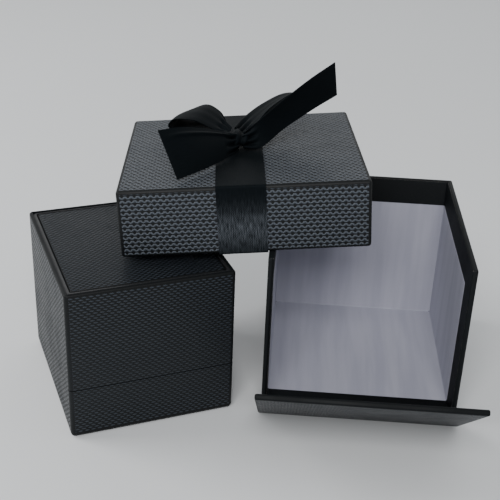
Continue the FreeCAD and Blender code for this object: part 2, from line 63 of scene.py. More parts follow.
# %% Camera
bpy.ops.object.select_all(action="DESELECT")
bpy.ops.object.camera_add(location=(-0.0261, -0.3148, 0.2046))
camera = bpy.context.object
camera.name = "product_camera"
PAN, TILT, ROLL, LENS = 2.76, -27.16, -2.35, 70.5
pan = Matrix.Rotation(math.radians(PAN), 4, "Z")
tilt = Matrix.Rotation(math.radians(TILT), 4, "X")
roll = Matrix.Rotation(math.radians(ROLL), 4, "Y")
upright = Matrix.Rotation(math.radians(90), 4, "X")
camera.matrix_world = Matrix.Translation(camera.location) @ pan @ tilt @ roll @ upright
camera.data.lens = LENS
camera.data.sensor_width = 36
camera.data.clip_start = 0.01
bpy.context.scene.camera = camera
print("camera stands", round(-camera.location.y, 3), "m in front of the origin")

# %% [markdown]
# ## Turned frames
# The lid leans on its neighbours and the ring box stands a little askew. It is far easier to
# model a square thing square and turn it at the end. Each unit's directions are read from a
# square piece of the frame: its face normals nearest the world's own axes.

# %% Read where each unit stands
RIGHT = Vector((1, 0, 0))
BACK = Vector((0, 1, 0))
UP = Vector((0, 0, 1))


def corners_of(node, inward):
    """A frame piece's lowest and highest corner, after a turn or a move inward."""
    points = [inward @ vertex.co for vertex in nodes[node].data.vertices]
    low = Vector([min(point[i] for point in points) for i in range(3)])
    high = Vector([max(point[i] for point in points) for i in range(3)])
    return low, high


def unit_frame(square_node, whole_node):
    """The turned frame of a unit, with its origin under the middle of one of its pieces."""
    faces = nodes[square_node].data.polygons
    rows = [max((face.normal for face in faces), key=axis.dot) for axis in (RIGHT, BACK, UP)]
    turn = Matrix(rows).transposed()
    low, high = corners_of(whole_node, turn.transposed())
    origin = turn @ Vector(((low.x + high.x)/2, (low.y + high.y)/2, low.z))
    return Matrix.Translation(origin) @ turn.to_4x4()


def size_in(unit, node):
    """A frame piece's lowest and highest corner, seen from a unit's own frame."""
    return corners_of(node, unit.inverted())


OUTER = Matrix.Identity(4)
LID = unit_frame("lid_top_board", "lid_wrap")
FRONT = unit_frame("drop_front_board", "drop_front_wrap")
RING = unit_frame("hinge_snap_spring", "ring_base_cover")
for label, unit in (("lid", LID), ("front", FRONT), ("ring box", RING)):
    print(label, "turned by", [round(math.degrees(angle), 1) for angle in unit.to_euler()])

# %% [markdown]
# ## Working by hand, in code
# These helpers do what a modeller does with the mouse: start from a block at its size and place,
# pick edges or faces, and finish with a modifier that is applied. An operator acts on whatever is
# selected, so each helper begins by clearing the selection.

# %% Modelling helpers
def select_only(piece):
    bpy.ops.object.select_all(action="DESELECT")
    piece.select_set(True)
    bpy.context.view_layer.objects.active = piece


def block(name, low, high):
    """A block between two corners, as the start of a piece."""
    bpy.ops.object.select_all(action="DESELECT")
    middle = (low + high)/2
    bpy.ops.mesh.primitive_cube_add(size=1, location=middle, scale=high - low)
    piece = bpy.context.object
    piece.name = name
    piece.data.name = name
    bpy.ops.object.transform_apply(location=True, rotation=True, scale=True)
    return piece


def pick(piece, kind, test):
    """In edit mode, select only the faces or edges that pass the test."""
    select_only(piece)
    bpy.ops.object.mode_set(mode="EDIT")
    bpy.ops.mesh.select_mode(type=kind)
    bpy.ops.mesh.select_all(action="DESELECT")
    mesh = bmesh.from_edit_mesh(piece.data)
    chosen = [item for item in (mesh.faces if kind == "FACE" else mesh.edges) if test(item)]
    for item in chosen:
        item.select_set(True)
    mesh.select_flush_mode()
    bmesh.update_edit_mesh(piece.data)


def done():
    bpy.ops.object.mode_set(mode="OBJECT")


def apply_modifier(piece, kind, **settings):
    select_only(piece)
    modifier = piece.modifiers.new(kind.title(), kind)
    for setting, value in settings.items():
        setattr(modifier, setting, value)
    bpy.ops.object.modifier_apply(modifier=modifier.name)


def faces_way(way, at=None):
    """A test for faces that look along a direction, and lie at a height along it if given."""
    def test(face):
        level = at is None or abs(face.calc_center_median().dot(way) - at) < 2*CLOSE
        return face.normal.dot(way) > 0.99 and level
    return test


def upright_edge(edge):
    first, second = edge.verts
    return (first.co - second.co).xy.length < CLOSE and len(edge.link_faces) == 2


def rim_edge(height):
    """A test for the edges round a block's end at one height."""
    def test(edge):
        return all(abs(end.co.z - height) < CLOSE for end in edge.verts)
    return test


def open_side(piece, way):
    """Remove the faces that look one way."""
    pick(piece, "FACE", faces_way(way))
    bpy.ops.mesh.delete(type="FACE")
    done()


def round_edges(piece, test, radius, segments):
    """Bevel the edges that pass the test, as by hand."""
    pick(piece, "EDGE", test)
    bpy.ops.mesh.bevel(offset=radius, segments=segments, affect="EDGES")
    done()


# %% [markdown]
# ## Laying paper on a piece
# Embossed paper keeps one direction and one scale on every face. A projection from the nearest
# side gives each face its own flat coordinates in millimetres, so a pattern made for a 2 mm
# cell is 2 mm wide everywhere. Rounded and narrow edges and the turned-in margins are marked
# apart, because paper that is drawn tightly over an edge and glued down loses its embossing.

# %% Flat coordinates and the final place
NARROWEST_EMBOSSED = 2.3*MM


def lay_paper(piece, smooth_way=None):
    """Millimetre coordinates from the nearest side, and a mark for the flat faces."""
    mesh = piece.data
    mesh.uv_layers.new(name="paper_mm")
    mesh.attributes.new("emboss", "FLOAT", "CORNER")
    layer = mesh.uv_layers["paper_mm"]
    mark = mesh.attributes["emboss"]
    middle = sum((Vector(corner) for corner in piece.bound_box), Vector())/8
    for face in mesh.polygons:
        side = max(range(3), key=lambda i: abs(face.normal[i]))
        across, up = [(1, 2), (0, 2), (0, 1)][side]
        # This mark also places the leatherette's painted sheen: unmarked faces keep the paper's own
        # near-black.
        flat = 1.0 if abs(face.normal[side]) > 0.995 else 0.0
        ends = [[mesh.vertices[i].co for i in pair] for pair in face.edge_keys]
        narrow = face.area/max((b - a).length for a, b in ends) < NARROWEST_EMBOSSED
        margin = smooth_way is not None and face.normal.dot(smooth_way) > 0.9
        inward = (middle - face.center).dot(face.normal) > 0
        if narrow or margin or inward:
            flat = 0.0
        for corner in face.loop_indices:
            point = mesh.vertices[mesh.loops[corner].vertex_index].co
            layer.data[corner].uv = (point[across]/MM, point[up]/MM)
            mark.data[corner].value = flat


def settle(piece, unit, body, stands_for, finish, smooth=30):
    """Turn a finished piece into its unit's place and say what it is."""
    select_only(piece)
    if smooth:
        bpy.ops.object.shade_smooth_by_angle(angle=math.radians(smooth))
    piece.data.transform(unit)
    piece.data.update()
    piece.data.materials.clear()
    piece.data.materials.append(finish)
    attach(piece, body)
    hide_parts(*stands_for)
    box = [round(side/MM, 1) for side in piece.dimensions]
    print(piece.name, box, "mm,", len(piece.data.polygons), "faces")


# %% [markdown]
# ## Shared effects
# Several finishes need the same small effects, so each effect is a shader node group: built
# once, with named inputs, and placed in each material with its own values. A group here only
# gives out heights and masks. The shader itself stays in the material, where its plain numbers
# can be read by other programs.

# %% Node helpers
def wire(tree, *links):
    for source, target in links:
        tree.links.new(source, target)


def put(tree, kind, x, y, **settings):
    """Add a node at a place, with its settings and plain input values."""
    node = tree.nodes.new("ShaderNode" + kind)
    node.location = (x, y)
    for setting, value in settings.items():
        if setting.startswith("in_"):
            key = setting[3:]
            node.inputs[int(key) if key.isdigit() else key].default_value = value
        else:
            setattr(node, setting, value)
    return node


def math_node(tree, x, y, operation, first, second=None):
    """A Math node fed by sockets or plain numbers; gives its output socket."""
    node = put(tree, "Math", x, y, operation=operation)
    for socket, source in zip(node.inputs, (first, second)):
        if source is None:
            continue
        if isinstance(source, (int, float)):
            socket.default_value = source
        else:
            tree.links.new(source, socket)
    return node.outputs[0]


def new_group(name, inputs, outputs):
    tree = bpy.data.node_groups.new(name, "ShaderNodeTree")
    for label, kind, value in inputs:
        socket = tree.interface.new_socket(label, in_out="INPUT", socket_type=kind)
        if value is not None:
            socket.default_value = value
    for label, kind in outputs:
        tree.interface.new_socket(label, in_out="OUTPUT", socket_type=kind)
    entry = tree.nodes.new("NodeGroupInput")
    entry.location = (-900, 0)
    leave = tree.nodes.new("NodeGroupOutput")
    leave.location = (900, 0)
    return tree, entry.outputs, leave.inputs


FLOAT = "NodeSocketFloat"
VECTOR = "NodeSocketVector"

# %% [markdown]
# ### Embossing
# The paper is pressed between rollers that leave staggered cells, like bricks. Two waves, one
# across and one up, give such cells when they are multiplied: a hill in every second square and
# a hollow in the others. A third wave, twice as fast, makes straight ridges that keep the rows
# apart and turn the hills into long dashes. When the cells push those ridges up and down, they
# zigzag in opposite steps and leave small pits between them. One group makes both papers.

# %% Embossed cells
def make_emboss_group():
    tree, given, out = new_group(
        "embossed_cells",
        [("Vector", VECTOR, None), ("Cell Width", FLOAT, 2.0), ("Row Height", FLOAT, 1.4),
         ("Row Gap", FLOAT, 0.0), ("Wave", FLOAT, 0.0), ("Pit Size", FLOAT, -0.4),
         ("Unevenness", FLOAT, 0.15)],
        [("Height", FLOAT), ("Pits", FLOAT)])
    wobble = put(tree, "TexNoise", -900, -300, in_Scale=0.12, in_Detail=2.0)
    shift = put(tree, "VectorMath", -720, -200, operation="SCALE")
    moved = put(tree, "VectorMath", -560, -50, operation="ADD")
    parts = put(tree, "SeparateXYZ", -400, 0)
    wire(tree, (given["Vector"], wobble.inputs["Vector"]), (wobble.outputs["Color"], shift.inputs[0]),
         (given["Unevenness"], shift.inputs["Scale"]), (given["Vector"], moved.inputs[0]),
         (shift.outputs[0], moved.inputs[1]), (moved.outputs[0], parts.inputs[0]))
    across = math_node(tree, -240, 150, "DIVIDE", parts.outputs["X"], given["Cell Width"])
    across = math_node(tree, -80, 150, "MULTIPLY", across, 2*math.pi)
    rows = math_node(tree, -240, -50, "DIVIDE", parts.outputs["Y"], given["Row Height"])
    rows = math_node(tree, -80, -50, "MULTIPLY", rows, math.pi)
    wave_across = math_node(tree, 80, 250, "COSINE", across)
    wave_up = math_node(tree, 80, 120, "COSINE", rows)
    bricks = math_node(tree, 240, 200, "MULTIPLY", wave_across, wave_up)
    bent = math_node(tree, 240, 50, "MULTIPLY", bricks, given["Wave"])
    twice = math_node(tree, 80, -50, "MULTIPLY", rows, 2.0)
    lines = math_node(tree, 400, 50, "COSINE", math_node(tree, 320, 0, "SUBTRACT", twice, bent))
    blend = put(tree, "Mix", 560, 50, data_type="FLOAT")
    wire(tree, (given["Row Gap"], blend.inputs["Factor"]), (bricks, blend.inputs[2]),
         (lines, blend.inputs[3]))
    level = put(tree, "MapRange", 720, 100, interpolation_type="SMOOTHSTEP",
                in_1=-0.75, in_2=0.65, in_3=0.0, in_4=1.0)
    pits = put(tree, "MapRange", 720, -200, interpolation_type="SMOOTHSTEP", in_3=1.0, in_4=0.0)
    wire(tree, (math_node(tree, 560, -250, "SUBTRACT", given["Pit Size"], 0.3), pits.inputs[1]),
         (math_node(tree, 560, -400, "ADD", given["Pit Size"], 0.3), pits.inputs[2]))
    wire(tree, (blend.outputs[0], level.inputs[0]), (blend.outputs[0], pits.inputs[0]),
         (level.outputs[0], out["Height"]), (pits.outputs[0], out["Pits"]))
    return tree


EMBOSS = make_emboss_group()

# %% [markdown]
# ### Grain, wear and dust
# Under the embossing lies the paper's own fine grain. Edges that hands touch turn a little
# paler, and a trace of dust breaks up the gloss. Two noises make the grain and the dust. The
# wear follows the sharp edges of the mesh, broken up by the grain.

# %% Grain, wear and dust
def make_surface_group():
    tree, given, out = new_group(
        "grain_wear_dust",
        [("Vector", VECTOR, None), ("Grain Scale", FLOAT, 4000.0), ("Dust Scale", FLOAT, 90.0)],
        [("Grain", FLOAT), ("Dust", FLOAT), ("Wear", FLOAT)])
    grain = put(tree, "TexNoise", -500, 200, in_Detail=3.0, in_Roughness=0.6)
    dust = put(tree, "TexNoise", -500, -50, in_Detail=4.0, in_Roughness=0.65)
    edge = put(tree, "NewGeometry", -500, -300)
    wire(tree, (given["Vector"], grain.inputs["Vector"]), (given["Vector"], dust.inputs["Vector"]),
         (given["Grain Scale"], grain.inputs["Scale"]), (given["Dust Scale"], dust.inputs["Scale"]))
    patches = put(tree, "MapRange", -200, -50, interpolation_type="SMOOTHSTEP", in_1=0.42, in_2=0.7)
    rubbed = put(tree, "MapRange", -200, -300, interpolation_type="SMOOTHSTEP", in_1=0.51, in_2=0.6)
    wire(tree, (dust.outputs[0], patches.inputs[0]), (edge.outputs["Pointiness"], rubbed.inputs[0]))
    broken = math_node(tree, 0, -250, "MULTIPLY", rubbed.outputs[0], grain.outputs[0])
    wire(tree, (grain.outputs[0], out["Grain"]), (patches.outputs[0], out["Dust"]),
         (broken, out["Wear"]))
    return tree


SURFACE = make_surface_group()

# %% [markdown]
# ### Woven threads
# A ribbon is made of threads. Two sets of fine waves that cross, with a stretched noise that
# gives some threads more body than others, are enough at this distance: the eye reads the
# break-up as single threads.

# %% Threads
def make_thread_group():
    tree, given, out = new_group(
        "fine_threads",
        [("Vector", VECTOR, None), ("Thread Width", FLOAT, 0.2), ("Slubs", FLOAT, 0.5)],
        [("Height", FLOAT), ("Streaks", FLOAT)])
    size = math_node(tree, -700, 200, "DIVIDE", 1.0, given["Thread Width"])
    scaled = put(tree, "VectorMath", -520, 100, operation="SCALE")
    wire(tree, (given["Vector"], scaled.inputs[0]), (size, scaled.inputs["Scale"]))
    parts = put(tree, "SeparateXYZ", -340, 100)
    wire(tree, (scaled.outputs[0], parts.inputs[0]))
    warp = math_node(tree, -160, 200, "SINE", math_node(tree, -250, 260, "MULTIPLY",
                                                         parts.outputs["Y"], math.pi))
    weft = math_node(tree, -160, 0, "SINE", math_node(tree, -250, -60, "MULTIPLY",
                                                       parts.outputs["X"], math.pi))
    crossing = math_node(tree, 20, 100, "MULTIPLY", warp, weft)
    stretched = put(tree, "Mapping", -340, -250, in_Scale=(0.12, 1.0, 1.0))
    streaks = put(tree, "TexNoise", -120, -250, in_Scale=0.8, in_Detail=3.0)
    wire(tree, (scaled.outputs[0], stretched.inputs["Vector"]),
         (stretched.outputs[0], streaks.inputs["Vector"]))
    slubs = math_node(tree, 180, -150, "MULTIPLY", streaks.outputs[0], given["Slubs"])
    height = math_node(tree, 360, 50, "ADD", math_node(tree, 200, 100, "MULTIPLY", crossing, 0.25),
                       slubs)
    wire(tree, (height, out["Height"]), (streaks.outputs[0], out["Streaks"]))
    return tree


THREADS = make_thread_group()

# %% [markdown]
# ## Finishes
# Every finish is a material of nodes: where the surface is (its own flat coordinates, or its
# place on the object), the shared effects at this paper's or fabric's own scale, and one
# shader.

# %% Material helper
def new_material(name, color, roughness, **plain):
    """A material with one shader, and its plain values set on the shader's own sockets."""
    material = bpy.data.materials.new(name)
    material.use_nodes = True
    tree = material.node_tree
    shader = tree.nodes["Principled BSDF"]
    shader.inputs["Base Color"].default_value = (*color, 1)
    shader.inputs["Roughness"].default_value = roughness
    for socket, value in plain.items():
        shader.inputs[socket.replace("_", " ")].default_value = value
    material.diffuse_color = (*color, 1)
    return material, tree, shader


def place_group(tree, group, x, y, **values):
    node = tree.nodes.new("ShaderNodeGroup")
    node.node_tree = group
    node.location = (x, y)
    for label, value in values.items():
        node.inputs[label.replace("_", " ")].default_value = value
    return node


def color_mix(tree, x, y, mask, first, second):
    """A colour that goes from the first to the second where the mask is 1."""
    mix = put(tree, "Mix", x, y, data_type="RGBA")
    mix.inputs[6].default_value = (*first, 1)
    mix.inputs[7].default_value = (*second, 1)
    tree.links.new(mask, mix.inputs["Factor"])
    return mix.outputs[2]


def relief(tree, shader, height, distance):
    """Raise the surface by a height, given as the real depth in metres."""
    bump = put(tree, "Bump", 300, -300, in_Strength=1.0, in_Distance=distance)
    wire(tree, (height, bump.inputs["Height"]), (bump.outputs[0], shader.inputs["Normal"]))


# %% [markdown]
# ### Embossed leatherette paper
# The wrap of all three units is black paper with a plastic skin, embossed to look like leather.
# The pits stay matt and dark, and the raised cells get a painted cool grey sheen in their colour. The
# ring box has wide oval cells in low rows; the outer box and the lid have a zigzag with pits.

# %% Leatherette
def make_leatherette(name, cell_width, row_height, gap, wave, pit_size, depth, gloss, painted_sheen):
    material, tree, shader = new_material(name, painted_sheen, 0.3, Specular_IOR_Level=gloss)
    flat = put(tree, "UVMap", -1100, 200, uv_map="paper_mm")
    mark = put(tree, "Attribute", -1100, 450, attribute_name="emboss")
    place = put(tree, "TexCoord", -1100, -200)
    cells = place_group(tree, EMBOSS, -850, 200, Cell_Width=cell_width, Row_Height=row_height,
                        Row_Gap=gap, Wave=wave, Pit_Size=pit_size, Unevenness=0.35)
    surface = place_group(tree, SURFACE, -850, -200, Grain_Scale=2600.0, Dust_Scale=60.0)
    wire(tree, (flat.outputs[0], cells.inputs["Vector"]),
         (place.outputs["Object"], surface.inputs["Vector"]))
    land = math_node(tree, -720, 450, "SUBTRACT", 1.0, cells.outputs["Pits"])
    land = math_node(tree, -600, 400, "MULTIPLY", land, mark.outputs["Fac"])
    raised = math_node(tree, -600, 150, "MULTIPLY", cells.outputs["Height"], mark.outputs["Fac"])
    # Painted sheen: the raised land takes the lighter colour, a painted highlight; the pits keep the
    # paper's near-black.
    skin = color_mix(tree, -350, 300, land, (0.0010, 0.0016, 0.0020), painted_sheen)
    worn = put(tree, "Mix", -100, 300, data_type="RGBA")
    worn.inputs[7].default_value = (0.012, 0.014, 0.016, 1)
    wire(tree, (skin, worn.inputs[6]), (surface.outputs["Wear"], worn.inputs["Factor"]),
         (worn.outputs[2], shader.inputs["Base Color"]))
    smoother = math_node(tree, -280, 60, "MULTIPLY", land, 0.26)
    rough = math_node(tree, -200, 0, "SUBTRACT", 0.52, smoother)
    dusty = math_node(tree, -350, -60, "MULTIPLY", surface.outputs["Dust"], 0.1)
    wire(tree, (math_node(tree, -100, 0, "ADD", rough, dusty), shader.inputs["Roughness"]))
    grain = math_node(tree, -350, -250, "MULTIPLY", surface.outputs["Grain"], 0.10)
    relief(tree, shader, math_node(tree, -150, -250, "ADD", raised, grain), depth*MM)
    return material


# The last colour of each paper is a painted sheen on its raised cells, lightest on the lid.
RING_PAPER = make_leatherette("leatherette_oval_cells", 2.15, 0.88, 0.5, 0.0, 0.25, 0.18, 0.2,
                              (0.034, 0.042, 0.054))
LID_PAPER = make_leatherette("leatherette_zigzag", 2.02, 1.40, 0.75, 1.9, -0.35, 0.3, 0.25,
                             (0.078, 0.089, 0.107))
BOX_PAPER = make_leatherette("leatherette_box", 2.02, 1.40, 0.75, 1.9, -0.35, 0.2, 0.12,
                             (0.036, 0.042, 0.050))
PLAIN_PAPER = make_leatherette("leatherette_smooth", 2.0, 1.4, 0.0, 0.0, -0.9, 0.02, 0.15,
                               (0.003, 0.004, 0.005))

# %% [markdown]
# ### Lining paper, board and felt
# The white lining is smooth, but it is glued over board, so faint streaks of glue and board run
# down it. Greyboard is pressed waste paper, with flecks. Felt is short matted fibre. Pieces that
# come straight from the frame have no flat coordinates, so their patterns read the place on the
# object. The folded lining has its own.

# %% Lining, board, felt and plastic
def make_matt(name, light, dark, stretch, scale, roughness, depth, flat=False, **plain):
    """A matt finish whose colour drifts between two tones in streaks, flecks or fibres."""
    material, tree, shader = new_material(name, light, roughness, **plain)
    place = put(tree, "TexCoord", -1000, 0)
    turned = put(tree, "Mapping", -800, 0, in_Scale=stretch)
    source = place.outputs["Object"]
    if flat:
        source = put(tree, "UVMap", -1000, 200, uv_map="paper_mm").outputs[0]
    drift = put(tree, "TexNoise", -600, 100, in_Scale=scale, in_Detail=5.0, in_Roughness=0.55)
    surface = place_group(tree, SURFACE, -600, -200, Grain_Scale=3000.0, Dust_Scale=40.0)
    wire(tree, (source, turned.inputs[0]), (turned.outputs[0], drift.inputs[0]),
         (place.outputs["Object"], surface.inputs["Vector"]))
    tone = put(tree, "MapRange", -400, 100, interpolation_type="SMOOTHSTEP", in_1=0.35, in_2=0.68)
    wire(tree, (drift.outputs[0], tone.inputs[0]),
         (color_mix(tree, -150, 100, tone.outputs[0], light, dark), shader.inputs["Base Color"]))
    soft = math_node(tree, -350, -150, "MULTIPLY", surface.outputs["Dust"], 0.08)
    wire(tree, (math_node(tree, -150, -150, "ADD", soft, roughness - 0.04),
                shader.inputs["Roughness"]))
    mixed = math_node(tree, -350, -350, "ADD", drift.outputs[0],
                      math_node(tree, -450, -400, "MULTIPLY", surface.outputs["Grain"], 0.5))
    relief(tree, shader, mixed, depth*MM)
    return material


# Both lining tones are darker and bluer than white paper: painted shade for paper that sits inside
# the box.
LINING = make_matt("white_lining_paper", (0.44, 0.44, 0.50), (0.39, 0.39, 0.45),
                   (1.0, 0.35, 0.12), 90.0, 0.6, 0.02)
FOLDED_LINING = make_matt("white_lining_folded", (0.41, 0.41, 0.48), (0.35, 0.35, 0.42),
                          (0.001, 0.00008, 0.001), 170.0, 0.55, 0.02, flat=True)
BOARD = make_matt("greyboard", (0.34, 0.32, 0.29), (0.22, 0.20, 0.18),
                  (1.0, 1.0, 1.0), 900.0, 0.9, 0.08)
FELT = make_matt("black_felt", (0.012, 0.012, 0.014), (0.03, 0.03, 0.033),
                 (1.0, 1.0, 1.0), 1800.0, 0.95, 0.15, Sheen_Weight=0.6, Sheen_Roughness=0.5)
PLASTIC = make_matt("black_moulded_plastic", (0.012, 0.012, 0.013), (0.018, 0.018, 0.02),
                    (1.0, 1.0, 1.0), 400.0, 0.5, 0.02)
VELVET = make_matt("ivory_velvet", (0.66, 0.63, 0.58), (0.52, 0.49, 0.45),
                   (1.0, 1.0, 1.0), 320.0, 0.85, 0.05, Sheen_Weight=0.7, Sheen_Roughness=0.4)
STEEL = make_matt("plated_steel", (0.50, 0.50, 0.51), (0.42, 0.42, 0.43),
                  (0.05, 1.0, 1.0), 2500.0, 0.32, 0.01, Metallic=1.0)

# %% [markdown]
# ### Satin
# Satin is woven so that long threads float on its face, which gives it a soft sheen and a very
# fine grain along the ribbon. Its coordinates are those of the flat ribbon, so the grain bends
# with every fold. Where an attribute marks the ribbon, a painted sheen turns its raised threads
# bright.

# %% Satin
def make_satin(name, light, dark, sheen, roughness):
    material, tree, shader = new_material(name, dark, roughness, Specular_IOR_Level=0.08,
                                          Specular_Tint=(0.4, 0.45, 0.5, 1))
    flat = put(tree, "UVMap", -900, 100, uv_map="cloth_mm")
    painted_sheen_mask = put(tree, "Attribute", -900, 350, attribute_name="painted_sheen_mask")
    threads = place_group(tree, THREADS, -650, 100, Thread_Width=0.28, Slubs=0.8)
    wire(tree, (flat.outputs[0], threads.inputs["Vector"]))
    cloth = color_mix(tree, -400, 200, threads.outputs["Streaks"], dark, light)
    # Painted sheen: where the attribute marks the ribbon, the raised threads are painted in the sheen
    # colour.
    shine = put(tree, "MapRange", -400, 450, in_1=0.3, in_2=0.7)
    lit = put(tree, "Mix", -150, 300, data_type="RGBA")
    lit.inputs[7].default_value = (*sheen, 1)
    wire(tree, (threads.outputs["Height"], shine.inputs[0]), (cloth, lit.inputs[6]),
         (math_node(tree, -250, 450, "MULTIPLY", shine.outputs[0], painted_sheen_mask.outputs["Fac"]),
          lit.inputs["Factor"]),
         (lit.outputs[2], shader.inputs["Base Color"]))
    uneven = math_node(tree, -300, -50, "MULTIPLY", threads.outputs["Streaks"], 0.2)
    wire(tree, (math_node(tree, -120, -50, "ADD", uneven, roughness - 0.1),
                shader.inputs["Roughness"]))
    relief(tree, shader, threads.outputs["Height"], 0.03*MM)
    return material


BLACK_SATIN = make_satin("black_satin", (0.0050, 0.0070, 0.0085), (0.0016, 0.0024, 0.0030),
                         (0.110, 0.122, 0.140), 0.62)
WHITE_SATIN = make_satin("white_satin", (0.80, 0.78, 0.75), (0.68, 0.66, 0.63),
                         (0.84, 0.82, 0.80), 0.35)

# %% [markdown]
# ## The outer box
# A tray of 2 mm wrapped board with no front and no top. It starts as a block, loses its front
# and top faces, and gets its wall by Solidify, which keeps the corners even. A small bevel then
# rounds every edge as paper does over board. Its inside stops just short of the lining, so the
# lining lies proud by a tenth of a millimetre, as glued paper does.

# %% Outer box wrap
BOARD_WALL = 2*MM
PAPER_STEP = 0.15*MM
EDGE_ROUND = 0.55*MM
UNDER_PAPER = 0.1*MM


def paper_edges(piece):
    """Round every sharp edge as paper does over board."""
    apply_modifier(piece, "BEVEL", width=EDGE_ROUND, segments=3, limit_method="ANGLE",
                   angle_limit=math.radians(40))


def wrapped_tray(name, low, high, open_ways, corner=0):
    """A thin-walled tray with rounded edges, open on the sides that are given."""
    piece = block(name, low, high)
    for way in open_ways:
        open_side(piece, way)
    apply_modifier(piece, "SOLIDIFY", thickness=BOARD_WALL - PAPER_STEP, offset=-1.0,
                   use_even_offset=True, use_rim=True)
    if corner:
        sides = [(low[i], high[i]) for i in (0, 1)]
        round_edges(piece, lambda edge: all(
            min(abs(end.co[i] - value) for value in sides[i]) < CLOSE
            for i in (0, 1) for end in edge.verts), corner, 5)
    paper_edges(piece)
    lay_paper(piece)
    return piece


low, high = size_in(OUTER, "outer_wall_wrap")
low.z = UNDER_PAPER
outer_wrap = wrapped_tray("outer_box_wrap", low, high, (-BACK, UP))
settle(outer_wrap, OUTER, "outer_box", ["outer_wall_wrap"], BOX_PAPER)

# %% [markdown]
# ### The white lining
# One sheet, folded up at the back and the sides, so its inner corners are small rounds and not
# gaps. The block loses its front and top, its folds are beveled, and Solidify gives it the
# thickness of paper. Its streaks follow its own flat coordinates, up the walls and along the
# floor.

# %% White lining
LINING_THICKNESS = 0.25*MM
FOLD_ROUND = 0.5*MM
low, high = size_in(OUTER, "outer_wall_liner")
low.z = size_in(OUTER, "outer_floor_liner")[0].z
print("lining reaches", [round(side/MM, 2) for side in (*low, *high)])
lining = block("outer_box_lining_paper", low, high)
for way in (-BACK, UP):
    open_side(lining, way)
round_edges(lining, lambda edge: len(edge.link_faces) == 2, FOLD_ROUND, 3)
apply_modifier(lining, "SOLIDIFY", thickness=LINING_THICKNESS, offset=-1.0, use_even_offset=True)
lay_paper(lining)
settle(lining, OUTER, "outer_box", ["outer_wall_liner", "outer_floor_liner"], FOLDED_LINING,
       smooth=50)

# %% [markdown]
# ### Paper under the box
# The wrap's cut edges are hidden by one sheet of smooth paper under the floor, set in from the
# edges a little. It is a block as thin as paper, with its corners rounded.

# %% Bottom paper
SET_IN = 1.5*MM
low, high = size_in(OUTER, "outer_bottom_paper")
margin = Vector((SET_IN, SET_IN, 0))
bottom_paper = block("outer_box_bottom_paper", low + margin, high - margin)
round_edges(bottom_paper, upright_edge, 1.2*MM, 4)
lay_paper(bottom_paper)
settle(bottom_paper, OUTER, "outer_box", ["outer_bottom_paper"], PLAIN_PAPER)

# %% [markdown]
# ## The drop front
# One board, wrapped, wider than the box so that its edges show at both sides. It is modelled
# lying flat in its own frame and leans because that frame leans. Its inner face is left smooth,
# because the wrap's turned-in margins and the lining cover it.

# %% Drop front wrap
low, high = size_in(FRONT, "drop_front_wrap")
high.z -= PAPER_STEP
drop_front = block("drop_front_wrap_paper", low, high)
paper_edges(drop_front)
lay_paper(drop_front, UP)
settle(drop_front, FRONT, "drop_front", ["drop_front_wrap"], BOX_PAPER)

# %% [markdown]
# ### The paper hinge
# The front swings on nothing but paper: a strip glued under the floor and up the outside of the
# front. It is drawn as one strip, extruded leg by leg.

# %% Paper hinge
GLUED_UNDER = 8*MM
GLUED_UP = 6*MM
FREE_LEG = 0.8*MM
low, high = size_in(OUTER, "front_hinge_strip")
hinge_line = Vector((0, low.y, low.z))
up_front = (FRONT.to_3x3() @ -BACK).normalized()
bpy.ops.object.select_all(action="DESELECT")
bpy.ops.mesh.primitive_plane_add(size=1, location=(0, high.y + GLUED_UNDER/2, 0.05*MM))
hinge_paper = bpy.context.object
hinge_paper.name = "front_hinge_paper"
bpy.ops.transform.resize(value=(high.x - low.x - 1*MM, GLUED_UNDER, 1))
bpy.ops.object.transform_apply(location=True, rotation=True, scale=True)


def foremost_edge(edge):
    front = min(vertex.co.y for vertex in hinge_paper.data.vertices)
    return all(abs(end.co.y - front) < 1e-6 for end in edge.verts)


def fold_edge(edge):
    first, second = edge.verts
    return abs(first.co.x - second.co.x) > 1*MM and len(edge.link_faces) == 2


for step in (Vector((0, low.y - high.y, 0)), up_front*FREE_LEG, up_front*GLUED_UP):
    pick(hinge_paper, "EDGE", foremost_edge)
    bpy.ops.mesh.extrude_region_move(TRANSFORM_OT_translate={"value": step})
    done()
round_edges(hinge_paper, fold_edge, 0.3*MM, 2)
apply_modifier(hinge_paper, "SOLIDIFY", thickness=0.2*MM, offset=1.0)
lay_paper(hinge_paper)
hinge_paper.data.materials.append(PLAIN_PAPER)
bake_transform(hinge_paper)
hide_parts("front_hinge_strip")
print("hinge strip is", len(hinge_paper.data.vertices), "points")

# %% [markdown]
# ## The lid
# The same kind of tray, upside down: a block with its underside removed. Its board is softer at
# the edges, so its outer edges get a larger round before the small one. The wall is as thick as
# paper and board together, so this one piece stands for the boards inside it as well.

# %% Lid wrap
LID_CORNER = 1.1*MM
LID_LOW, LID_HIGH = size_in(LID, "lid_wrap")
lid_wrap = wrapped_tray("bow_lid_wrap", LID_LOW, LID_HIGH, (-UP,), LID_CORNER)
lid_boards = [name for name in nodes if name.startswith("lid_") and name.endswith("_board")]
settle(lid_wrap, LID, "bow_lid", ["lid_wrap"] + lid_boards, LID_PAPER)

# %% [markdown]
# ## Ribbon
# A ribbon is a flat strip before it is anything else. Each piece of it starts as a flat grid of
# its cut size, gets its flat coordinates in millimetres, and is then carried along a path: every
# point knows how far along and how far across the strip it is. The path is a few pairs of
# points, one on each edge of the ribbon, joined by a smooth curve.

